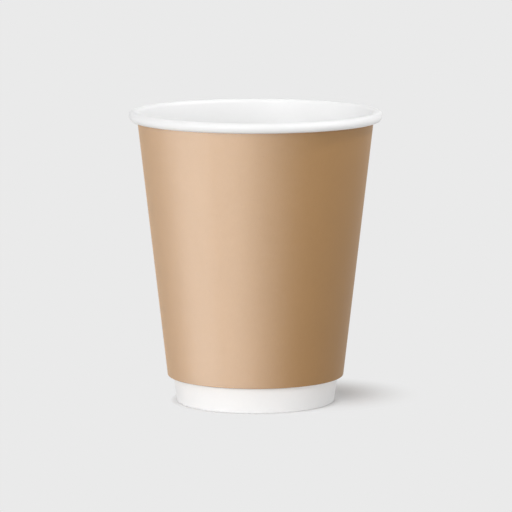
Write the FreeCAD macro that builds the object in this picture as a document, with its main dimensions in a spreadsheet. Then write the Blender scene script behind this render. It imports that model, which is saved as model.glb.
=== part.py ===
import FreeCAD, Part
import math
import os
import Sketcher

# Double-wall paper coffee cup for an 8 oz (about 240 ml) hot drink, standing on its foot.
# Millimetres, +Z up, origin on the table at the centre of the foot.
#
# The cup is three pieces of paperboard, glued and heat-sealed together.
#   cup_wall      a fan-shaped blank wrapped into a cone with a lapped side seam. Its top edge is
#                 rolled outwards into the rim, and its bottom edge is folded in and up round the
#                 base disc's skirt.
#   base_disc     a round blank with its edge turned down into a skirt, held between wall and fold.
#   outer_sleeve  the kraft second wall. It is glued to the cup wall under the rim and at its
#                 turned-in lower hem, with an air gap between that keeps the outside cool.

SIZES = (
    # name, millimetres or degrees, what it measures
    ("rim_diameter", 80.0, "outside of the rolled rim, which takes an 80 mm lid"),
    ("cup_height", 92.5, "table to the top of the rolled rim"),
    ("foot_diameter", 50.0, "outside of the cone where it meets the table"),
    ("roll_diameter", 3.2, "rolled rim, across its section"),
    ("wall_board", 0.35, "thickness of the cup wall's board"),
    ("disc_board", 0.30, "thickness of the base disc's board"),
    ("sleeve_board", 0.30, "thickness of the sleeve's board"),
    ("seal_film", 0.02, "coating or glue between two boards"),
    ("foot_fold_height", 6.5, "table to the top of the folded flap"),
    ("base_recess", 8.0, "table to the underside of the base disc"),
    ("skirt_clearance", 0.5, "skirt's cut edge above the inside of the fold"),
    ("sleeve_foot_height", 8.3, "table to the sleeve's lower edge"),
    ("sleeve_top_clearance", 0.1, "sleeve's top edge below the underside of the roll"),
    ("air_gap", 1.5, "cup wall to the sleeve's inside, at the sleeve's lower edge"),
    ("hem_height", 4.0, "height of the sleeve's turned-up hem"),
    ("wall_lap_width", 6.0, "overlap of the cup wall's side seam"),
    ("wall_lap_rise", 0.2, "how far the pressed overlap stands into the cup"),
    ("wall_lap_turn", 8.0, "cup wall's seam, counter-clockwise from +X"),
    ("wall_lap_clearance", 0.3, "lower end of the cup wall's overlap above the base disc"),
    ("sleeve_lap_width", 7.0, "overlap of the sleeve's side seam"),
    ("sleeve_lap_rise", 0.25, "how far the pressed overlap stands out of the sleeve"),
    ("sleeve_lap_turn", 97.0, "sleeve's seam, counter-clockwise from +X"),
    ("sleeve_lap_clearance", 0.25, "lower end of the sleeve's overlap above its lower edge"),
    ("lap_ramp", 1.2, "run over which the top ply of an overlap comes down to the single board"),
    ("lap_root", 0.1, "depth to which an overlap is one with its own board"),
)

# The roll's round section is drawn in flats that stay within 0.13 mm of the circle. Counted from the
# outside of the roll, its first corner lies next to the cup's inside and its last one under the roll,
# where the cut edge of the sheet comes round to the cone again.
FLATS_IN_TURN = 8
FIRST_CORNER = 3
LAST_CORNER = -3

doc = FreeCAD.newDocument("paper_cup")
sheet = doc.addObject("Spreadsheet::Sheet", "Sizes")
for row, (alias, value, meaning) in enumerate(SIZES, start=1):
    sheet.set(f"A{row}", alias)
    sheet.set(f"B{row}", str(value))
    sheet.set(f"C{row}", meaning)
    sheet.setAlias(f"B{row}", alias)
doc.recompute()

# Places that more than one outline needs, as expressions on the sheet.
ROLL_CENTRE_X = "Sizes.rim_diameter / 2 - Sizes.roll_diameter / 2"
ROLL_CENTRE_Y = "Sizes.cup_height - Sizes.roll_diameter / 2"
ROLL_INSIDE = "Sizes.roll_diameter / 2 - Sizes.wall_board"
ROLL_INNER_EDGE = "(Sizes.rim_diameter / 2 - Sizes.roll_diameter) * 1mm"
FOOT_X = "Sizes.foot_diameter / 2"
SLEEVE_TOP = "Sizes.cup_height - Sizes.roll_diameter - Sizes.sleeve_top_clearance"
WALL_LAP_LOW = "Sizes.base_recess + Sizes.disc_board + Sizes.wall_lap_clearance"
SLEEVE_LAP_LOW = "Sizes.sleeve_foot_height + Sizes.sleeve_lap_clearance"

UP = FreeCAD.Vector(0, 1, 0)
LEFT = FreeCAD.Vector(-1, 0, 0)
RIGHT = FreeCAD.Vector(1, 0, 0)
NORMAL = FreeCAD.Vector(0, 0, 1)

# The points of a sketched edge, as constraints name them.
START, END, CENTRE = range(1, 4)


def size(alias):
    return float(sheet.get(alias))


def level(height):
    """The point of the axis at a height, in an outline's own plane."""
    return UP * height


def at_height(point, along, height):
    """The point at a height on the line through point."""
    return point + along * ((height - point.y) / along.y)


def outward_of(along):
    """The normal to the right of an upward line, which points away from the axis."""
    return FreeCAD.Vector(along.y, -along.x, 0)


def corner_of(point, along, next_point, next_along):
    """Where two straight faces would meet."""
    return point + along * ((next_point - point).cross(next_along).z / along.cross(next_along).z)


def roll_centre():
    roll = size("roll_diameter") / 2
    return FreeCAD.Vector(size("rim_diameter") / 2 - roll, size("cup_height") - roll, 0)


def roll_inside():
    return size("roll_diameter") / 2 - size("wall_board")


def wall_face():
    """The cup wall's outer face: from the foot, and tangent to the inside of the roll.
    Gives the foot, the tangent point and the direction up the wall."""
    foot = RIGHT * (size("foot_diameter") / 2)
    reach = roll_centre() - foot
    angle = math.atan2(reach.y, reach.x) + math.asin(roll_inside() / reach.Length)
    along = FreeCAD.Vector(math.cos(angle), math.sin(angle), 0)
    return foot, roll_centre() - outward_of(along) * roll_inside(), along


class Outline:
    """A sketch on one of a body's origin planes, with its sizes bound to the sheet."""

    def __init__(self, body, name, role="XZ_Plane"):
        self.sketch = body.newObject("Sketcher::SketchObject", name)
        plane = next(feature for feature in body.Origin.OriginFeatures if feature.Role == role)
        self.sketch.AttachmentSupport = [(plane, "")]
        self.sketch.MapMode = "FlatFace"

    def line(self, start, end, construction=False):
        return self.sketch.addGeometry(Part.LineSegment(start, end), construction)

    def arc(self, centre, start, end):
        """A counter-clockwise arc."""
        turns = [math.atan2(point.y - centre.y, point.x - centre.x) for point in (start, end)]
        circle = Part.Circle(centre, NORMAL, (start - centre).Length)
        return self.sketch.addGeometry(Part.ArcOfCircle(circle, *turns))

    def circle(self, name, centre, radius, expression):
        """A circle to draw by, which is no part of the outline."""
        circle = self.sketch.addGeometry(Part.Circle(centre, NORMAL, radius), True)
        self.measure(name, expression, "Radius", circle, radius)
        return circle

    def mark(self, point):
        return self.sketch.addGeometry(Part.Point(point), True)

    def chain(self, corners):
        """Straight edges from each corner to the next and back to the first."""
        edges = [self.line(start, end) for start, end in zip(corners, corners[1:] + corners[:1])]
        for edge, following in zip(edges, edges[1:] + edges[:1]):
            self.tie("Coincident", edge, END, following, START)
        return edges

    def tie(self, kind, *what):
        return self.sketch.addConstraint(Sketcher.Constraint(kind, *what))

    def measure(self, name, expression, kind, *what):
        """Adds a constraint with a value, and binds the value to the sheet."""
        self.sketch.renameConstraint(self.tie(kind, *what), name)
        self.sketch.setExpression("Constraints." + name, expression)

    def place_x(self, name, edge, point, expression):
        distance = self.sketch.getPoint(edge, point).x
        self.measure(name, expression, "DistanceX", -1, 1, edge, point, distance)

    def place_y(self, name, edge, point, expression):
        distance = self.sketch.getPoint(edge, point).y
        self.measure(name, expression, "DistanceY", -1, 1, edge, point, distance)

    def offset(self, name, edge, point, face, expression):
        """Holds one point of an edge at a distance from a straight face."""
        line = self.sketch.Geometry[face]
        along = (line.EndPoint - line.StartPoint).normalize()
        gap = (self.sketch.getPoint(edge, point) - line.StartPoint).cross(along).Length
        self.measure(name, expression, "Distance", edge, point, face, gap)

    def follow(self, circle, flats):
        """Holds a run of flats on a circle, all as long, with a corner at its top and at its outside."""
        for flat in flats:
            self.tie("PointOnObject", flat, START, circle)
        self.tie("PointOnObject", flats[-1], END, circle)
        for flat, following in zip(flats, flats[1:]):
            self.tie("Equal", flat, following)
        topmost = max(flats, key=lambda flat: self.sketch.getPoint(flat, START).y)
        outermost = max(flats, key=lambda flat: self.sketch.getPoint(flat, START).x)
        self.tie("Vertical", topmost, START, circle, CENTRE)
        self.tie("Horizontal", outermost, START, circle, CENTRE)

    def radius_at(self, name, face, height):
        """Measures the distance from the axis to a slanting face at a height, for another sketch to read."""
        line = self.sketch.Geometry[face]
        mark = self.mark((line.StartPoint + line.EndPoint) * 0.5)
        self.tie("PointOnObject", mark, START, face)
        self.place_y(name + "_height", mark, START, height)
        distance = self.sketch.getPoint(mark, START).x
        index = self.tie("DistanceX", -1, 1, mark, START, distance)
        self.sketch.setDriving(index, False)
        self.sketch.renameConstraint(index, name)

    def seat_on_roll(self, face):
        """Holds the cup wall's outer face: from the foot, and tangent to the inside of the roll. Gives the
        circle of the roll's inside and the spoke to the tangent point."""
        inside = self.circle("roll_inside", roll_centre(), roll_inside(), ROLL_INSIDE)
        self.place_x("roll_centre_x", inside, CENTRE, ROLL_CENTRE_X)
        self.place_y("roll_centre_y", inside, CENTRE, ROLL_CENTRE_Y)
        spoke = self.line(roll_centre(), self.sketch.getPoint(face, END), True)
        self.tie("Coincident", spoke, START, inside, CENTRE)
        self.tie("Coincident", spoke, END, face, END)
        self.tie("PointOnObject", spoke, END, inside)
        self.tie("Perpendicular", spoke, face)
        foot = self.mark(RIGHT * (size("foot_diameter") / 2))
        self.place_x("foot_x", foot, START, FOOT_X)
        self.tie("PointOnObject", foot, START, -1)
        self.tie("PointOnObject", foot, START, face)
        return inside, spoke

    def draw_wall_face(self):
        """The cup wall's outer face as a construction line, from the same sizes as the wall."""
        foot, touch, along = wall_face()
        face = self.line(foot, touch, True)
        self.seat_on_roll(face)
        self.tie("PointOnObject", face, START, -1)
        return face


def new_body(name):
    body = doc.addObject("PartDesign::Body", name)
    body.Label = name
    return body


def revolve(body, outline, name):
    turned = body.newObject("PartDesign::Revolution", name)
    turned.Profile = outline.sketch
    turned.ReferenceAxis = (outline.sketch, ["V_Axis"])
    turned.Angle = 360.0


def wall_outline(body):
    """The cup wall in section: the cone, the roll of the rim and the folded foot."""
    foot, touch, along = wall_face()
    outward = outward_of(along)
    board = size("wall_board")
    roll = size("roll_diameter") / 2
    centre = roll_centre()
    steps = range(FIRST_CORNER, LAST_CORNER - 1, -1)
    turns = [2 * math.pi * step / FLATS_IN_TURN for step in steps]
    spokes = [FreeCAD.Vector(math.cos(turn), math.sin(turn), 0) for turn in turns]
    inner_corners = [centre + spoke * roll_inside() for spoke in spokes]
    outer_corners = [centre + spoke * roll for spoke in reversed(spokes)]

    inside_face = foot - outward * board
    flap_face = inside_face - outward * (size("disc_board") + 2 * size("seal_film"))
    flap_back = flap_face - outward * board
    flap_top = at_height(flap_face, along, size("foot_fold_height"))
    channel = [at_height(face, along, board) for face in (inside_face, flap_face)]
    flap_end = [flap_top, flap_top - outward * board]
    flap_foot = at_height(flap_back, along, 0)

    out = Outline(body, "WallProfile")
    edges = out.chain([foot, touch, *inner_corners, *outer_corners, centre - outward * roll,
                       *channel, *flap_end, flap_foot])
    flats = len(spokes) - 1
    face = edges[0]
    inner_flats = edges[2:2 + flats]
    outer_flats = edges[3 + flats:3 + 2 * flats]
    over_edge, inside, channel_floor, flap_front, flap_cut, flap_rear, bottom = edges[3 + 2 * flats:]

    # The roll: the cone's two faces run into its inner and outer circle.
    inner_circle, spoke = out.seat_on_roll(face)
    outer_circle = out.circle("roll_outside", centre, roll, "Sizes.roll_diameter / 2")
    out.tie("Coincident", outer_circle, CENTRE, inner_circle, CENTRE)
    out.follow(inner_circle, inner_flats)
    out.follow(outer_circle, outer_flats)
    out.tie("PointOnObject", over_edge, END, outer_circle)
    out.tie("PointOnObject", over_edge, END, spoke)
    out.tie("Parallel", inside, face)

    # The foot: the flap lies parallel to the wall, with the disc's skirt between them.
    out.tie("Horizontal", bottom)
    out.tie("PointOnObject", bottom, START, -1)
    out.tie("Horizontal", channel_floor)
    out.place_y("channel_floor_height", channel_floor, START, "Sizes.wall_board")
    out.tie("Parallel", flap_front, face)
    out.tie("Parallel", flap_rear, face)
    out.offset("channel_width", flap_front, START, inside, "Sizes.disc_board + 2 * Sizes.seal_film")
    out.offset("flap_board", flap_rear, START, flap_front, "Sizes.wall_board")
    out.tie("Perpendicular", flap_cut, flap_rear)
    out.place_y("flap_height", flap_front, END, "Sizes.foot_fold_height")
    out.radius_at("lap_low_radius", inside, WALL_LAP_LOW)
    return out


def disc_outline(body):
    """The base disc in section, from the axis to the cut edge of its skirt."""
    foot, touch, along = wall_face()
    board = size("disc_board")
    outward = outward_of(along)
    skirt_face = foot - outward * (size("wall_board") + size("seal_film"))
    skirt_back = skirt_face - outward * board
    underside = level(size("base_recess"))
    top = underside + UP * board
    low = at_height(skirt_face, along, size("wall_board") + size("skirt_clearance"))

    out = Outline(body, "DiscProfile")
    under, skirt_in, skirt_cut, skirt_out, over, middle = out.chain([
        underside,
        at_height(skirt_back, along, underside.y),
        low - outward * board,
        low,
        at_height(skirt_face, along, top.y),
        top,
    ])
    wall = out.draw_wall_face()
    out.tie("PointOnObject", under, START, -2)
    out.tie("Vertical", middle)
    out.tie("Horizontal", under)
    out.tie("Horizontal", over)
    out.place_y("recess", under, START, "Sizes.base_recess")
    out.measure("disc_board", "Sizes.disc_board", "DistanceY", under, START, over, END, board)
    out.tie("Parallel", skirt_out, wall)
    out.tie("Parallel", skirt_in, wall)
    out.offset("skirt_seat", skirt_out, START, wall, "Sizes.wall_board + Sizes.seal_film")
    out.offset("skirt_board", skirt_in, START, skirt_out, "Sizes.disc_board")
    out.tie("Perpendicular", skirt_cut, skirt_out)
    out.place_y("skirt_edge", skirt_out, START, "Sizes.wall_board + Sizes.skirt_clearance")
    return out


def sleeve_outline(body):
    """The sleeve in section: its face, and the hem that turns in across the air gap and up the cup wall."""
    foot, touch, along = wall_face()
    outward = outward_of(along)
    board = size("sleeve_board")
    low = size("sleeve_foot_height")
    top = size("cup_height") - size("roll_diameter") - size("sleeve_top_clearance")
    hem_back = foot + outward * size("seal_film")
    hem_front = hem_back + outward * board
    hem_top = at_height(hem_back, along, low + size("hem_height"))
    top_in = at_height(hem_back, along, top)
    low_in = at_height(foot + outward * size("air_gap"), along, low)
    slope = (top_in - low_in).normalize()
    low_out = low_in + outward_of(slope) * board

    out = Outline(body, "SleeveProfile")
    face_in, web_top, hem_out, hem_cut, hem_in, web_low, face, top_edge = out.chain([
        top_in,
        corner_of(low_in, slope, level(low + board), LEFT),
        corner_of(level(low + board), LEFT, hem_front, along),
        hem_top + outward * board,
        hem_top,
        at_height(hem_back, along, low),
        at_height(low_out, slope, low),
        at_height(low_out, slope, top),
    ])
    wall = out.draw_wall_face()
    out.tie("Horizontal", web_low)
    out.tie("Horizontal", web_top)
    out.tie("Horizontal", top_edge)
    out.place_y("lower_edge", web_low, START, "Sizes.sleeve_foot_height")
    out.measure("web_board", "Sizes.sleeve_board", "DistanceY", web_low, START, web_top, START, board)
    out.place_y("top_edge_height", face_in, START, SLEEVE_TOP)
    out.tie("Parallel", face, face_in)
    out.offset("face_board", face, START, face_in, "Sizes.sleeve_board")
    out.tie("Parallel", hem_in, wall)
    out.tie("Parallel", hem_out, wall)
    out.offset("hem_seat", hem_in, END, wall, "Sizes.seal_film")
    out.offset("hem_board", hem_out, END, hem_in, "Sizes.sleeve_board")
    out.tie("Perpendicular", hem_cut, hem_in)
    out.place_y("hem_top", hem_in, START, "Sizes.sleeve_foot_height + Sizes.hem_height")
    out.offset("top_seat", face_in, START, wall, "Sizes.seal_film")
    low_mark = out.mark(low_in)
    out.tie("PointOnObject", low_mark, START, face_in)
    out.place_y("gap_height", low_mark, START, "Sizes.sleeve_foot_height")
    out.offset("air_gap", low_mark, START, wall, "Sizes.air_gap")
    out.radius_at("lap_low_radius", face, SLEEVE_LAP_LOW)
    out.radius_at("lap_high_radius", face, SLEEVE_TOP)
    return out


def measured(profile, name):
    """A distance that an outline measures, as an expression and as a number."""
    return f"{profile.sketch.Name}.Constraints.{name}", profile.sketch.getDatum(name).Value


def lap_section(body, name, height, face, face_radius, side, crest, width, turn):
    """A side seam's overlap in a level section, at a height where the sheet's face has the given radius, as
    an expression and as a number. side is -1 on a sheet's inner face and 1 on its outer one. The sketch's
    own X axis points at the seam, so its turn is the attachment's."""
    out = Outline(body, name, "XY_Plane")
    turned = FreeCAD.Rotation(NORMAL, size(turn))
    out.sketch.AttachmentOffset = FreeCAD.Placement(FreeCAD.Vector(0, 0, 0), turned)
    out.sketch.setExpression("AttachmentOffset.Base.z", height)
    out.sketch.setExpression("AttachmentOffset.Rotation.Angle", "Sizes." + turn + " * 1deg")

    crest_radius = face_radius + side * size(crest)
    root_radius = face_radius - side * size("lap_root")
    half = size(width) / 2
    ramp = size("lap_ramp")

    def on_circle(radius, across):
        return FreeCAD.Vector(math.sqrt(radius ** 2 - across ** 2), across, 0)

    crest_corners = [on_circle(crest_radius, -half), on_circle(crest_radius, half)]
    root_corners = [on_circle(root_radius, -half), on_circle(root_radius, half + ramp)]
    crest_arc = out.arc(level(0), *crest_corners)
    root_arc = out.arc(level(0), *root_corners)
    cut_edge = out.line(crest_corners[0], root_corners[0])
    slope = out.line(crest_corners[1], root_corners[1])
    for side_edge, point in ((cut_edge, START), (slope, END)):
        out.tie("Coincident", side_edge, START, crest_arc, point)
        out.tie("Coincident", side_edge, END, root_arc, point)

    out.tie("Coincident", crest_arc, CENTRE, -1, 1)
    out.tie("Coincident", root_arc, CENTRE, -1, 1)
    out.measure("crest_radius", f"{face} + {side} * Sizes.{crest} * 1mm", "Radius", crest_arc, crest_radius)
    out.measure("root_radius", f"{face} - {side} * Sizes.lap_root * 1mm", "Radius", root_arc, root_radius)
    out.place_y("cut_low", crest_arc, START, f"-Sizes.{width} / 2")
    out.place_y("crest_end", crest_arc, END, f"Sizes.{width} / 2")
    out.place_y("root_cut", root_arc, START, f"-Sizes.{width} / 2")
    out.place_y("root_end", root_arc, END, f"Sizes.{width} / 2 + Sizes.lap_ramp")
    return out


def add_lap(body, name, low, high, *shape):
    """The overlap of a side seam, of one width from end to end of the cone. low and high are each a height,
    and the face's radius there as an expression and as a number."""
    sections = [lap_section(body, name + end, *place, *shape).sketch for end, place in (("Low", low), ("High", high))]
    lap = body.newObject("PartDesign::AdditiveLoft", name)
    lap.Profile = sections[0]
    lap.Sections = sections[1:]
    lap.Ruled = True


def make_cup_wall():
    body = new_body("cup_wall")
    profile = wall_outline(body)
    revolve(body, profile, "WallTurned")
    doc.recompute()
    low = (WALL_LAP_LOW, *measured(profile, "lap_low_radius"))
    high = (ROLL_CENTRE_Y, ROLL_INNER_EDGE, size("rim_diameter") / 2 - size("roll_diameter"))
    add_lap(body, "WallLap", low, high, -1, "wall_lap_rise", "wall_lap_width", "wall_lap_turn")
    return body


def make_base_disc():
    body = new_body("base_disc")
    revolve(body, disc_outline(body), "DiscTurned")
    return body


def make_outer_sleeve():
    body = new_body("outer_sleeve")
    profile = sleeve_outline(body)
    revolve(body, profile, "SleeveTurned")
    doc.recompute()
    low = (SLEEVE_LAP_LOW, *measured(profile, "lap_low_radius"))
    high = (SLEEVE_TOP, *measured(profile, "lap_high_radius"))
    add_lap(body, "SleeveLap", low, high, 1, "sleeve_lap_rise", "sleeve_lap_width", "sleeve_lap_turn")
    return body


pieces = [make_cup_wall(), make_base_disc(), make_outer_sleeve()]
doc.recompute()

for item in doc.Objects:
    if "Invalid" in item.State or "Error" in item.State:
        raise RuntimeError(f"{item.Name} failed: {item.State}")
    if item.TypeId == "Sketcher::SketchObject" and not item.FullyConstrained:
        raise RuntimeError(f"{item.Name} isn't fully constrained")

for piece in pieces:
    shape = piece.Shape
    if shape.isNull() or not shape.isValid() or len(shape.Solids) != 1:
        raise RuntimeError(f"{piece.Label} isn't one valid solid")
    box = shape.optimalBoundingBox(True, False)
    spans = f"X {box.XMin:.2f} to {box.XMax:.2f}, Z {box.ZMin:.2f} to {box.ZMax:.2f}"
    print(f"{piece.Label}: {shape.Volume:.1f} mm3, {spans}")

os.makedirs("parts", exist_ok=True)
for piece in pieces:
    piece.Shape.exportStep(f"parts/{piece.Label}.step")
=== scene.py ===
import math
import bpy
import numpy as np
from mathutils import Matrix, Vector


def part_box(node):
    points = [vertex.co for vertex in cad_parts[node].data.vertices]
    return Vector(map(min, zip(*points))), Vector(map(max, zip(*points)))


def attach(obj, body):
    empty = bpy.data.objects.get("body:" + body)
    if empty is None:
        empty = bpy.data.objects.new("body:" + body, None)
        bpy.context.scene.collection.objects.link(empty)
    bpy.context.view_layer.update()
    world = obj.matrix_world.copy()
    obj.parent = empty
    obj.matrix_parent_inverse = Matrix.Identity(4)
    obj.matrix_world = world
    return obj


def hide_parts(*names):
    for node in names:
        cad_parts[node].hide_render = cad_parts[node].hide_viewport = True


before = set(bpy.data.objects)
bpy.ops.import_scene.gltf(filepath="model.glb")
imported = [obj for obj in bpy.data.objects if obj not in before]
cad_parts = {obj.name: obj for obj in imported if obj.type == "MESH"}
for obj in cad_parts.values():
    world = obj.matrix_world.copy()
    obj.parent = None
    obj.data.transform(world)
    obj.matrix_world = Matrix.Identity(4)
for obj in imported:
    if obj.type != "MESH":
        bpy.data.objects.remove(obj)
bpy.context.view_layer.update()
print("frame loaded")

mm = 0.001
sharpAngle = math.radians(38)  # edges that turn more than this are drawn sharp

# The cup's main sizes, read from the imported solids. Everything below is worked out from them.
wallLow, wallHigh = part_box("cup_wall")
discLow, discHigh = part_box("base_disc")
sleeveLow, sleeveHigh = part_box("outer_sleeve")
rimRadius = (wallHigh.x - wallLow.x) / 2
cupHeight = wallHigh.z


# The shader maths: a socket that adds, subtracts and multiplies like a number

class Value:
    def __init__(self, tree, socket):
        self.tree = tree
        self.socket = socket

    def worked(self, operation, *others, swap=False):
        inputs = [self, *others][::-1] if swap else [self, *others]
        return self.tree.add("ShaderNodeMath", {"operation": operation}, dict(enumerate(inputs)))

    def __add__(self, other): return self.worked("ADD", other)
    def __radd__(self, other): return self.worked("ADD", other)
    def __sub__(self, other): return self.worked("SUBTRACT", other)
    def __rsub__(self, other): return self.worked("SUBTRACT", other, swap=True)
    def __mul__(self, other): return self.worked("MULTIPLY", other)
    def __rmul__(self, other): return self.worked("MULTIPLY", other)

    def sqrt(self): return self.worked("SQRT")
    def min(self, other): return self.worked("MINIMUM", other)

    # 0 below low, 1 above high, smooth between them
    def step(self, low, high):
        settings = {"interpolation_type": "SMOOTHSTEP"}
        sockets = {"Value": self, "From Min": low, "From Max": high}
        return self.tree.add("ShaderNodeMapRange", settings, sockets)


# The nodes of a new material or world
class NodeTree:
    def __init__(self, owner):
        owner.use_nodes = True
        self.owner = owner
        self.nodes = owner.node_tree.nodes
        self.links = owner.node_tree.links
        self.nodes.clear()

    # Any node: its type, its settings, which are set first, then its sockets' values or links
    def add(self, kind, settings=None, inputs=None, output=0):
        node = self.nodes.new(kind)
        for name, value in (settings or {}).items():
            setattr(node, name, value)
        for name, value in (inputs or {}).items():
            socket = node.inputs[name]
            if isinstance(value, Value):
                self.links.new(value.socket, socket)
            elif socket.type == "RGBA":
                socket.default_value = (*value, 1.0)
            else:
                socket.default_value = value
        return Value(self, node.outputs[output] if len(node.outputs) else None)

    # The first colour at an amount of 0, the second at 1
    def mix(self, amount, first, second):
        return self.add("ShaderNodeMix", {"data_type": "RGBA"}, {0: amount, 6: first, 7: second}, 2)

    # The place in the piece's own axes
    def position(self):
        return self.add("ShaderNodeTexCoord", output=3)

    # The place on the flat blank
    def blank(self):
        return self.add("ShaderNodeUVMap", {"uv_map": "blank"})

    # A mark on the mesh's faces, 0 or 1
    def mark(self, name):
        return self.add("ShaderNodeAttribute", {"attribute_name": name}, output=2)

    def parts(self, vector):
        node = self.add("ShaderNodeSeparateXYZ", inputs={0: vector}).socket.node
        return [Value(self, output) for output in node.outputs]

    # Noise of a size in metres, 0.5 on average; stretch is its length along each axis, against size
    def noise(self, vector, size, detail, stretch, offset):
        scale = [1 / (size * along) for along in stretch]
        sockets = {"Vector": vector, "Scale": scale, "Location": offset}
        place = self.add("ShaderNodeMapping", {"vector_type": "POINT"}, sockets)
        return self.add("ShaderNodeTexNoise", None, {"Vector": place, "Scale": 1.0, "Detail": detail})

    def bump(self, height, strength, distance, normal=None):
        inputs = {"Height": height, "Strength": strength, "Distance": distance}
        if normal is not None:
            inputs["Normal"] = normal
        return self.add("ShaderNodeBump", None, inputs)

    def surface(self, **sockets):
        names = {name.replace("_", " "): value for name, value in sockets.items()}
        shader = self.add("ShaderNodeBsdfPrincipled", None, names)
        self.add("ShaderNodeOutputMaterial", None, {"Surface": shader})
        return self.owner


# Shapes. A board is a path in section, out from the axis and up, given a thickness on both sides of it.

# Joins straight runs and arcs: each move is a length and a turn to the left in radians, in so many
# steps. On an arc the heading grows evenly, so a point is the arc's start plus its radius, which is
# length over turn, times the change of the heading's sine and cosine.
def walkPath(start, heading, moves, steps):
    place = np.array(start, float)
    out, up, way, along = [], [], [], []
    gone = 0.0
    for (length, turn), count in zip(moves, steps):
        share = np.arange(count + 1) / count
        ahead = heading + turn * share
        if turn:
            dx = (np.sin(ahead) - math.sin(heading)) * length / turn
            dy = (math.cos(heading) - np.cos(ahead)) * length / turn
        else:
            dx = share * length * math.cos(heading)
            dy = share * length * math.sin(heading)
        out.append(place[0] + dx[:-1])
        up.append(place[1] + dy[:-1])
        way.append(ahead[:-1])
        along.append(gone + share[:-1] * length)
        place = place + (dx[-1], dy[-1])
        heading += turn
        gone += length
    ends = ([place[0]], [place[1]], [heading], [gone])
    return [np.concatenate([*parts, end]) for parts, end in zip((out, up, way, along), ends)]


# A step of 1 along a heading: its cosine and its sine
def unit(angle):
    return np.array((math.cos(angle), math.sin(angle)))


# A step of 1 to the left of a heading, a quarter turn on
def leftOf(angle):
    return unit(angle + math.pi / 2)


# Where two straight lines meet, each a point and a heading
def meet(first, firstWay, second, secondWay):
    a, b = unit(firstWay), unit(secondWay)
    gap = np.array(second) - first
    return first + a * (gap[0] * b[1] - gap[1] * b[0]) / (a[0] * b[1] - a[1] * b[0])


# How much of a straight run an arc of a radius takes at a corner
def cornerReach(radius, turn):
    return radius * math.tan(abs(turn) / 2)


# 0 at low and below, 1 at high and above, smooth between them: 3 t squared less 2 t cubed
def smooth(values, low, high):
    t = np.clip((values - low) / (high - low), 0, 1)
    return t * t * (3 - 2 * t)


# The turn about the axis of every column at every height, and each column's place across the lap.
# Near the seam a column keeps its distance across, so its turn is that distance over the radius. The
# rest of the columns share what is left of the circle evenly.
def columnTurns(radius, lap, columns):
    half = lap["width"] / 2
    cut = 0.02 * mm  # the run in which the overlap's cut edge drops
    flatColumns, rampColumns = 9, 6
    flat = np.linspace(-half, half, flatColumns)
    ramp = np.linspace(half, half + lap["ramp"], rampColumns + 1)[1:]
    across = np.concatenate([[-half - cut], flat, ramp])
    near = across[:, None] / radius
    share = (np.arange(1, columns - len(across) + 1) / (columns - len(across) + 1))[:, None]
    rest = near[-1] + share * (2 * math.pi + near[0] - near[-1])
    across = np.concatenate([across, np.full(len(rest), half + lap["ramp"])])
    return math.radians(lap["turn"]) + np.concatenate([near, rest]), across


# The overlap's rise: full between its cut edge and its ramp, and none past them or below its low end.
# Where the lap is pressed, the rise loses a share between two heights.
def lapRise(across, height, lap):
    half = lap["width"] / 2
    rise = (across >= -half) * (1 - smooth(across, half, half + lap["ramp"]))
    span = smooth(height, lap["low"], lap["low"] + lap["fade"])
    if "pressed" in lap:
        low, high, share = lap["pressed"]
        span = span * (1 - share * smooth(height, low, high))
    return lap["rise"] * rise[:, None] * span[None, :]


# A mesh from a grid of points that closes on itself both ways, with the blank's flat plan as its UV map.
# It marks the faces of the board's cut edges, which are whole rows and one side of the first column,
# and the coated rows.
def gridMesh(name, points, plan, cutRows, cutSide, coatedRows):
    columns, rows = points.shape[:2]
    index = np.arange(columns * rows).reshape(columns, rows)
    onward = np.roll(index, -1, 0)
    quads = np.stack([index, np.roll(index, -1, 1), np.roll(onward, -1, 1), onward], -1).reshape(-1, 4)
    mesh = bpy.data.meshes.new(name)
    mesh.from_pydata(points.reshape(-1, 3), [], quads)
    corners = np.stack([plan[:-1, :-1], plan[:-1, 1:], plan[1:, 1:], plan[1:, :-1]], -2)
    mesh.uv_layers.new(name="blank").uv.foreach_set("vector", corners.reshape(-1).astype(np.float32))
    cut = np.zeros((columns, rows), np.float32)
    cut[:, cutRows] = 1
    cut[0, cutSide] = 1
    coated = np.zeros((columns, rows), np.float32)
    coated[:, coatedRows] = 1
    for mark, values in (("cut", cut), ("coated", coated)):
        mesh.attributes.new(mark, "FLOAT", "FACE").data.foreach_set("value", values.reshape(-1))
    return mesh


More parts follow.
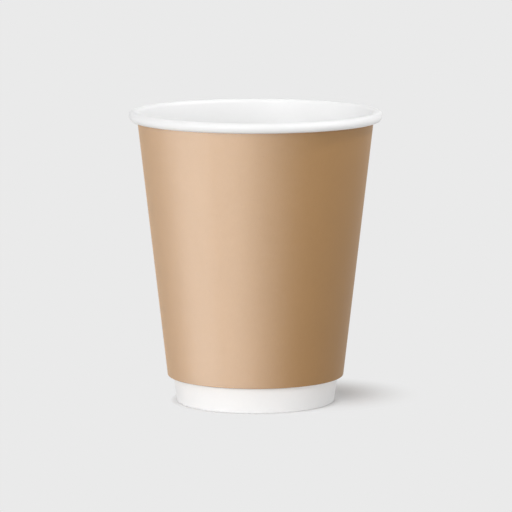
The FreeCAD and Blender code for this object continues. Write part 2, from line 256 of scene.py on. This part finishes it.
# A closed board: both faces of the path, the left one raised by the lap and the right one lowered by the
# relief, carried round the axis. A point's place is its distance from the axis times the cosine and
# sine of its column's turn.
def wrapBoard(name, path, board, lap, columns, relief=None):
    out, up, way, along = path
    turns, across = columnTurns(out, lap, columns)
    left = board / 2 + lapRise(across, up, lap)
    right = np.full_like(left, -board / 2)
    if relief is not None:
        right += relief(turns, up, way)
    faces = []
    for offset, line in ((left, slice(None)), (right[:, ::-1], slice(None, None, -1))):
        radius = out[line] - np.sin(way[line]) * offset
        height = up[line] + np.cos(way[line]) * offset
        angle = turns[:, line]
        faces.append(np.stack([radius * np.cos(angle), radius * np.sin(angle), height], -1))
    points = np.concatenate(faces, 1)

    # The flat fan that the cone is wrapped from: its apex is where the cone would close, and a full
    # turn of the cone is a turn of the fan times the sine of the cone's slope.
    slope = lap["slope"]
    closing = np.concatenate([turns, turns[:1] + 2 * math.pi]) - math.radians(lap["turn"]) - math.pi
    fan = closing * math.sin(slope)
    distance = lap["apex"] + np.concatenate([along, along[::-1]])
    fan = np.concatenate([fan, fan[:, ::-1]], 1)
    besides = 0.4  # the board's other face lies this far beside the first one in the plan
    sideways = np.concatenate([np.zeros(len(along)), np.full(len(along), besides)])
    plan = np.stack([distance * np.sin(fan) + sideways, distance * np.cos(fan)], -1)
    plan = np.concatenate([plan, plan[:, -1:]], 1)
    count = len(along)
    mesh = gridMesh(name, points, plan, [count - 1, 2 * count - 1], slice(count), slice(count))
    return finishPiece(name, mesh)


# Shades the mesh smooth apart from its folds, and puts the piece on the cup's one body. The volume is a
# third of the sum of every face's area times its centre's distance along its normal.
def finishPiece(name, mesh):
    mesh.shade_smooth()
    mesh.set_sharp_from_angle(angle=sharpAngle)
    mesh.validate()
    volume = sum(face.area * face.center.dot(face.normal) for face in mesh.polygons)
    print(f"{name}: {len(mesh.polygons)} faces, {volume / 3 * 1e9:.0f} mm3")
    piece = bpy.data.objects.new(name, mesh)
    bpy.context.scene.collection.objects.link(piece)
    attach(piece, "root")
    return piece


# The cup wall

wall = {
    "footRadius": 25.0 * mm,     # outside of the cone, where it would meet the table
    "rollRadius": 1.6 * mm,      # rolled rim, outside
    "rollTurn": 302.0,           # degrees that the board goes round in the rim
    "board": 0.35 * mm,
    "foldRadius": 0.195 * mm,    # folds of the foot, at the middle of the board
    "foldHeight": 6.5 * mm,      # top of the folded flap
    "channel": 0.34 * mm,        # room for the disc's skirt between wall and flap
    "ribs": 96,                  # pressed into the flap all round
    "ribDepth": 0.07 * mm,
    "ribLow": (0.6 * mm, 1.4 * mm),    # heights over which the ribs fade in and out
    "ribHigh": (5.6 * mm, 6.2 * mm),
    "steps": (8, 5, 1, 5, 22, 40),     # in the flap, fold, foot, fold, cone and roll
    "columns": 480,
}

rollCentre = np.array((rimRadius - wall["rollRadius"], cupHeight - wall["rollRadius"]))
rollInside = wall["rollRadius"] - wall["board"]
rollMiddle = wall["rollRadius"] - wall["board"] / 2
foot = np.array((wall["footRadius"], 0.0))
reach = rollCentre - foot
wallWay = math.atan2(reach[1], reach[0]) + math.asin(rollInside / math.hypot(*reach))
wallSlope = math.pi / 2 - wallWay
print(f"slope of the cone: {math.degrees(wallSlope):.2f} degrees")

wallLap = {
    "turn": 8.0,                 # degrees from +X
    "width": 6.0 * mm,
    "rise": 0.2 * mm,            # of the overlap, over the board
    "ramp": 1.2 * mm,            # width over which it comes down to the board again
    "low": 8.6 * mm,             # height at which it starts
    "fade": 0.3 * mm,
    # Flatter in the rolled rim: between two heights it loses the last value's share of its rise
    "pressed": (cupHeight - 9 * mm, cupHeight - 3.3 * mm, 0.75),
    "slope": wallSlope,
    "apex": wall["footRadius"] / math.sin(wallSlope),  # from the fan's apex to the cone's lower edge
}


# The wall in section: down the flap, round the foot, up the cone and round in the rim. A straight run is
# the distance between its corners less what their folds take of it, and a fold's length is its radius
# times its turn.
def wallPath():
    board, fold = wall["board"], wall["foldRadius"]
    inward = leftOf(wallWay)
    wallLine = foot + inward * board / 2
    flapLine = wallLine + inward * (board + wall["channel"])
    bottom = np.array((0.0, board / 2))
    outerCorner = meet(wallLine, wallWay, bottom, 0)
    innerCorner = meet(flapLine, wallWay, bottom, 0)
    top = meet(flapLine, wallWay, np.array((0.0, wall["foldHeight"])), 0)
    firstTurn, secondTurn = math.pi - wallWay, wallWay
    firstReach, secondReach = cornerReach(fold, firstTurn), cornerReach(fold, secondTurn)
    touch = rollCentre + inward * rollMiddle
    roll = -math.radians(wall["rollTurn"])
    return walkPath(top, wallWay - math.pi, [
        (math.dist(top, innerCorner) - firstReach, 0),
        (fold * firstTurn, firstTurn),
        (math.dist(innerCorner, outerCorner) - firstReach - secondReach, 0),
        (fold * secondTurn, secondTurn),
        (math.dist(outerCorner, touch) - secondReach, 0),
        (-rollMiddle * roll, roll),
    ], wall["steps"])


# Upright ribs in the flap: the board is lower between them by half of 1 less the cosine of the turn
# times their number, and they fade out towards the fold and the flap's cut edge. The flap is where the
# path goes steeply down near the foot.
def flapRibs(turns, height, way):
    steeply, flapTop = -0.9, wall["foldHeight"] * 1.01
    onFlap = (np.cos(way) < 0) & (np.sin(way) < steeply) & (height < flapTop)
    fade = smooth(height, *wall["ribLow"]) * (1 - smooth(height, *wall["ribHigh"])) * onFlap
    return wall["ribDepth"] * (0.5 - 0.5 * np.cos(turns * wall["ribs"])) * fade


cupWall = wrapBoard("cupWall", wallPath(), wall["board"], wallLap, wall["columns"], flapRibs)
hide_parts("cup_wall")


# The kraft sleeve

sleeve = {
    "board": 0.30 * mm,
    "film": 0.02 * mm,           # glue between the sleeve and the cup wall
    "airGap": 1.5 * mm,          # at the sleeve's lower edge
    "foldRadius": 0.17 * mm,
    "hemHeight": 4.0 * mm,
    "steps": (24, 6, 2, 6, 4),   # in the face, fold, web, fold and hem
    "columns": 400,
}


# The sleeve in section, worked out as the wall's is: down the face, in across the air gap and up the
# hem. It also gives the slope of the face.
def sleevePath():
    board, fold = sleeve["board"], sleeve["foldRadius"]
    outward = -leftOf(wallWay)
    low, high = sleeveLow.z, sleeveHigh.z
    level = np.array((0.0, low))
    topInside = meet(foot + outward * sleeve["film"], wallWay, np.array((0.0, high)), 0)
    lowInside = meet(foot + outward * sleeve["airGap"], wallWay, level, 0)
    faceWay = math.atan2(*(topInside - lowInside)[::-1])
    faceLine = topInside - leftOf(faceWay) * board / 2
    hemLine = foot + outward * (sleeve["film"] + board / 2)
    webLine = level + (0.0, board / 2)
    outerCorner = meet(faceLine, faceWay, webLine, 0)
    innerCorner = meet(hemLine, wallWay, webLine, 0)
    top = meet(faceLine, faceWay, np.array((0.0, high)), 0)
    hemTop = meet(hemLine, wallWay, level + (0.0, sleeve["hemHeight"]), 0)
    firstTurn, secondTurn = -faceWay, wallWay - math.pi
    firstReach, secondReach = cornerReach(fold, firstTurn), cornerReach(fold, secondTurn)
    return walkPath(top, faceWay - math.pi, [
        (math.dist(top, outerCorner) - firstReach, 0),
        (-fold * firstTurn, firstTurn),
        (math.dist(outerCorner, innerCorner) - firstReach - secondReach, 0),
        (-fold * secondTurn, secondTurn),
        (math.dist(innerCorner, hemTop) - secondReach, 0),
    ], sleeve["steps"]), math.pi / 2 - faceWay


facePath, sleeveSlope = sleevePath()
sleeveLap = {
    "turn": 97.0,                # at the back
    "width": 7.0 * mm,
    "rise": 0.25 * mm,
    "ramp": 1.2 * mm,
    "low": sleeveLow.z + 0.25 * mm,
    "fade": 0.1 * mm,
    "slope": sleeveSlope,
    "apex": sleeveHigh.x / math.sin(sleeveSlope),
}
outerSleeve = wrapBoard("outerSleeve", facePath, sleeve["board"], sleeveLap, sleeve["columns"])
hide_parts("outer_sleeve")


# The base disc: its face is flat, and its edge turns down into the skirt. A pole closes each face.

disc = {
    "board": 0.30 * mm,
    "film": 0.02 * mm,
    "bendRadius": 0.45 * mm,
    "hub": 1.0 * mm,             # the faces' first ring, round the poles
    "steps": (14, 7, 5),         # in the face, bend and skirt
    "columns": 192,
}


# The section goes out from the hub and down the skirt. Its two faces are half a board to each side of
# it, and a point's place is its distance from the axis times the cosine and sine of its column's turn.
def makeDisc():
    board, bend = disc["board"], disc["bendRadius"]
    inward = leftOf(wallWay)
    skirtLine = foot + inward * (wall["board"] + disc["film"] + board / 2)
    middle = np.array((0.0, discHigh.z - board / 2))
    corner = meet(skirtLine, wallWay, middle, 0)
    edge = meet(skirtLine, wallWay, np.array((0.0, discLow.z)), 0)
    turn = wallWay - math.pi
    taken = cornerReach(bend, turn)
    hub = np.array((disc["hub"], middle[1]))
    out, up, way = walkPath(hub, 0.0, [
        (corner[0] - hub[0] - taken, 0),
        (-bend * turn, turn),
        (math.dist(corner, edge) - taken, 0),
    ], disc["steps"])[:3]
    angle = np.arange(disc["columns"])[:, None] / disc["columns"] * 2 * math.pi
    faces = []
    for side in (1, -1):
        line = slice(None, None, side)
        radius = out[line] - np.sin(way[line]) * side * board / 2
        height = up[line] + np.cos(way[line]) * side * board / 2
        faces.append(np.stack([radius * np.cos(angle), radius * np.sin(angle),
                               np.broadcast_to(height, (len(angle), len(height)))], -1))
    grid = np.concatenate(faces, 1)
    columns, rows = grid.shape[:2]
    poles = np.array([(0, 0, middle[1] + board / 2), (0, 0, middle[1] - board / 2)])
    index = np.arange(columns * rows).reshape(columns, rows)
    onward = np.roll(index, -1, 0)
    quads = np.stack([index[:, :-1], index[:, 1:], onward[:, 1:], onward[:, :-1]], -1).reshape(-1, 4)
    top = np.stack([onward[:, 0], np.full(columns, columns * rows), index[:, 0]], -1)
    under = np.stack([index[:, -1], np.full(columns, columns * rows + 1), onward[:, -1]], -1)
    mesh = bpy.data.meshes.new("baseDisc")
    mesh.from_pydata(np.concatenate([grid.reshape(-1, 3), poles]), [],
                     [*quads.tolist(), *top.tolist(), *under.tolist()])
    return finishPiece("baseDisc", mesh)


baseDisc = makeDisc()
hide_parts("base_disc")


# Materials. Colours are linear, and patterns are noises of a size, a detail, a stretch along each axis
# and a place.

# A base, plus each noise's distance from its mean of 0.5 times its share
def varied(base, noises, shares):
    for name, share in shares.items():
        base = base + (noises[name] - 0.5) * share
    return base


kraft = {
    "dark": (0.314, 0.163, 0.048),
    "light": (0.358, 0.191, 0.062),
    "noises": {                  # on the flat blank
        "cloud": (16 * mm, 2.0, (1, 1, 1), (0, 0, 0)),
        "mottle": (2.2 * mm, 3.0, (1, 1, 1), (3, 5, 0)),
        "fibres": (0.16 * mm, 2.0, (1, 12, 1), (7, 1, 0)),
        "crossed": (0.13 * mm, 2.0, (9, 1, 1), (2, 8, 0)),
        "flecks": (0.45 * mm, 1.0, (1, 2.4, 1), (9, 4, 0)),
        "cockle": (7 * mm, 2.0, (1, 1, 1), (1, 2, 0)),
    },
    "tone": {"cloud": 0.3, "mottle": 0.4, "fibres": 0.7, "crossed": 0.4},  # shares of each noise
    "fleck": (0.26, 0.14, 0.055),
    "fleckStep": (0.71, 0.77),   # a fleck comes in between these levels of its noise
    "fleckShare": 0.45,
    "edge": (0.46, 0.30, 0.16),  # the board's cut edges
    "edgeShare": 0.8,
    "crossedGrain": 0.7,
    "grainBump": (0.35, 0.012 * mm),  # strength and height
    "cockleBump": (0.15, 0.25 * mm),
    "roughness": 0.48,
    "roughnessShares": {"mottle": 0.10, "fibres": 0.12},
    "specular": 0.45,
}


# Brown board: fibres both ways, mottle and clouds between dark and light, a few flecks, and paler edges
# where it is cut
def kraftBoard():
    board = NodeTree(bpy.data.materials.new("kraftBoard"))
    blank = board.blank()
    noises = {name: board.noise(blank, *values) for name, values in kraft["noises"].items()}
    flecks = noises["flecks"].step(*kraft["fleckStep"])
    colour = board.mix(varied(0.5, noises, kraft["tone"]), kraft["dark"], kraft["light"])
    colour = board.mix(flecks * kraft["fleckShare"], colour, kraft["fleck"])
    colour = board.mix(board.mark("cut") * kraft["edgeShare"], colour, kraft["edge"])
    relief = noises["fibres"] + noises["crossed"] * kraft["crossedGrain"]
    grain = board.bump(relief, *kraft["grainBump"])
    return board.surface(
        Base_Color=colour,
        Roughness=varied(kraft["roughness"], noises, kraft["roughnessShares"]),
        Specular_IOR_Level=kraft["specular"],
        Normal=board.bump(noises["cockle"], *kraft["cockleBump"], grain),
    )


white = {
    "shade": (0.85, 0.85, 0.85),
    "light": (0.88, 0.88, 0.88),
    "noises": {                  # on the flat blank, and in the disc's own axes
        "cloud": (11 * mm, 2.0, (1, 1, 1), (0, 0, 0)),
        "mottle": (1.3 * mm, 3.0, (1, 1, 1), (4, 2, 0)),
        "fibres": (0.14 * mm, 2.0, (1, 10, 1), (6, 3, 0)),
        "cockle": (9 * mm, 2.0, (1, 1, 1), (5, 7, 0)),
    },
    "tone": {"cloud": 0.5, "mottle": 0.6, "fibres": 0.5},  # shares of each noise
    "edge": (0.80, 0.78, 0.73),  # the board's cut edges
    "fibreGrain": 0.5,
    "grainBump": (0.25, 0.02 * mm),  # strength and height
    "cockleBump": (0.2, 0.25 * mm),
    "coated": 0.42,              # roughness of the side that holds the drink, and of the disc
    "plain": 0.52,               # roughness of the other side
    "cutRougher": 0.3,
    "roughnessShares": {"mottle": 0.08},
    "specular": 0.3,
}


# White board, with a smoother coated side, and warmer, rougher edges where it is cut. The disc has no
# blank, so its noises lie in its own axes.
def whiteBoard(name, onBlank):
    board = NodeTree(bpy.data.materials.new(name))
    place = board.blank() if onBlank else board.position()
    noises = {name: board.noise(place, *values) for name, values in white["noises"].items()}
    colour = board.mix(varied(0.5, noises, white["tone"]), white["shade"], white["light"])
    roughness = varied(white["coated"], noises, white["roughnessShares"])
    if onBlank:
        cut, coated = board.mark("cut"), board.mark("coated")
        colour = board.mix(cut, colour, white["edge"])
        plainRougher = white["plain"] - white["coated"]
        roughness = roughness + (1 - coated) * plainRougher + cut * white["cutRougher"]
    relief = noises["fibres"] * white["fibreGrain"] + noises["mottle"]
    grain = board.bump(relief, *white["grainBump"])
    return board.surface(
        Base_Color=colour,
        Roughness=roughness,
        Specular_IOR_Level=white["specular"],
        Normal=board.bump(noises["cockle"], *white["cockleBump"], grain),
    )


cupWall.data.materials.append(whiteBoard("whiteBoard", True))
baseDisc.data.materials.append(whiteBoard("discBoard", False))
outerSleeve.data.materials.append(kraftBoard())
print("materials made")


# The floor, the light and the camera

studio = {
    "backdrop": 0.823,           # the pale grey of floor and background
    "floor": (0.90, 0.90, 0.90),
    "ambient": 0.36,             # the world's light on the object
    "floorRadius": 6.0,
    "floorCorners": 96,
    "shadow": (0.014, 0.010),    # middle of the real floor that shows the shadow
    "shadowWider": 1.15,         # it is wider than deep by this
    "plainFrom": 0.006,          # distances from its middle over which it turns into plain backdrop
    "plainTo": 0.040,
    "contact": (25.2 * mm, 27.2 * mm),  # round the foot it is real again, within the first radius
    "lampDistance": 2.0,
}

# Soft lamps, far off: degrees round from the camera's side towards the right, degrees up, strength and
# the spread of the light in degrees
lamps = {
    "keyLamp": (-30, 12, 2.05, 42),
    "fillLamp": (86, 2, 1.3, 60),
    "topLamp": (-48, 56, 0.34, 45),
}

# The bright table's own reflection in the sleeve: a wide lamp at the left, below the floor's level,
# which shows only as a sheen. It is strong because the board's gloss is weak. Without it the sleeve is
# an even, deeper brown.
sheen = {
    "azimuth": -49,
    "elevation": -18,
    "strength": 31.0,
    "spread": 120,
}

# A narrow lamp from the right that lights only the inside of the cup, through its mouth
snoot = {
    "azimuth": 82,
    "elevation": 52,
    "distance": 0.6,
    "power": 16.5,
    "cone": 6.4,                 # degrees
    "blend": 0.5,
    "size": 0.04,
}

# The view that the outlines fit: a long lens, far off
cameraView = {
    "place": (0.00015, -1.16667, 0.21174),
    "down": 8.077,               # degrees from level
    "lens": 261.46,
    "sensor": 36.0,
    "clip": (0.05, 50.0),
}


# 1 where the camera looks, straight or through gloss or glass, and 0 for light on the object: the three
# marks' sum, 1 at most
def backdropRays(tree):
    path = tree.add("ShaderNodeLightPath").socket.node
    names = ("Is Camera Ray", "Is Glossy Ray", "Is Transmission Ray")
    camera, glossy, through = [Value(tree, path.outputs[name]) for name in names]
    return (camera + glossy + through).min(1)


# An even world, with the backdrop's grey where the camera looks
def makeWorld():
    world = bpy.data.worlds.new("studio")
    tree = NodeTree(world)
    strength = studio["ambient"] + backdropRays(tree) * (studio["backdrop"] - studio["ambient"])
    light = tree.add("ShaderNodeBackground", None, {"Color": (1, 1, 1), "Strength": strength})
    tree.add("ShaderNodeOutputWorld", None, {"Surface": light})
    bpy.context.scene.world = world


# The distance that two sockets make: the root of the sum of their squares
def far(x, y):
    return (x * x + y * y).sqrt()


# A wide round sheet, which is real near the shadow and the foot and plain backdrop away from them
def makeFloor():
    count = studio["floorCorners"]
    turn = np.arange(count) / count * 2 * math.pi
    ring = np.stack([np.cos(turn), np.sin(turn), np.zeros(count)], -1) * studio["floorRadius"]
    mesh = bpy.data.meshes.new("floor")
    mesh.from_pydata(ring, [], [list(range(count))])
    floor = bpy.data.objects.new("floor", mesh)
    bpy.context.scene.collection.objects.link(floor)
    tree = NodeTree(bpy.data.materials.new("floorSheet"))
    x, y = tree.parts(tree.position())[:2]
    right, back = x - studio["shadow"][0], (y - studio["shadow"][1]) * studio["shadowWider"]
    away = far(right, back).step(studio["plainFrom"], studio["plainTo"])
    away = away * far(x, y).step(*studio["contact"])
    paper = tree.add("ShaderNodeBsdfDiffuse", None, {"Color": studio["floor"]})
    plain = tree.add("ShaderNodeEmission", None, {"Color": (1, 1, 1), "Strength": studio["backdrop"]})
    shown = tree.add("ShaderNodeMixShader", None, {0: away * backdropRays(tree), 1: paper, 2: plain})
    tree.add("ShaderNodeOutputMaterial", None, {"Surface": shown})
    mesh.materials.append(tree.owner)


# The direction of a place in the sky, from its turn to the right of the camera's side and its height
def skyward(azimuth, elevation):
    a, e = math.radians(azimuth), math.radians(elevation)
    return Vector((math.sin(a) * math.cos(e), -math.cos(a) * math.cos(e), math.sin(e)))


# A lamp that faces the middle of the cup's mouth
def hangLamp(light, azimuth, elevation, distance):
    lamp = bpy.data.objects.new(light.name, light)
    way = skyward(azimuth, elevation)
    lamp.rotation_mode = "QUATERNION"
    lamp.rotation_quaternion = way.to_track_quat("Z", "Y")
    lamp.location = Vector((0, 0, cupHeight)) + way * distance
    bpy.context.scene.collection.objects.link(lamp)
    return lamp


def makeLamp(name, azimuth, elevation, strength, spread):
    light = bpy.data.lights.new(name, "SUN")
    light.energy = strength
    light.angle = math.radians(spread)
    return hangLamp(light, azimuth, elevation, studio["lampDistance"])


# The lamp of the sheen lights the sleeve alone, and the floor doesn't block it
def makeSheen():
    lamp = makeLamp("sheenLamp", **sheen)
    lamp.visible_diffuse = False
    shown = bpy.data.collections.new("sheenShown")
    shown.objects.link(outerSleeve)
    lamp.light_linking.receiver_collection = shown
    lamp.light_linking.blocker_collection = shown


def makeSnoot():
    light = bpy.data.lights.new("snoot", "SPOT")
    light.energy = snoot["power"]
    light.spot_size = math.radians(snoot["cone"])
    light.spot_blend = snoot["blend"]
    light.shadow_soft_size = snoot["size"]
    hangLamp(light, snoot["azimuth"], snoot["elevation"], snoot["distance"])


def makeCamera():
    camera = bpy.data.cameras.new("camera")
    camera.sensor_width = cameraView["sensor"]
    camera.lens = cameraView["lens"]
    camera.clip_start, camera.clip_end = cameraView["clip"]
    view = bpy.data.objects.new("camera", camera)
    view.location = cameraView["place"]
    view.rotation_euler = (math.radians(90 - cameraView["down"]), 0, 0)
    bpy.context.scene.collection.objects.link(view)
    bpy.context.scene.camera = view


makeWorld()
makeFloor()
for lampName, lamp in lamps.items():
    makeLamp(lampName, *lamp)
makeSnoot()
makeSheen()
makeCamera()
bpy.context.scene.view_settings.view_transform = "Standard"
print("studio made")
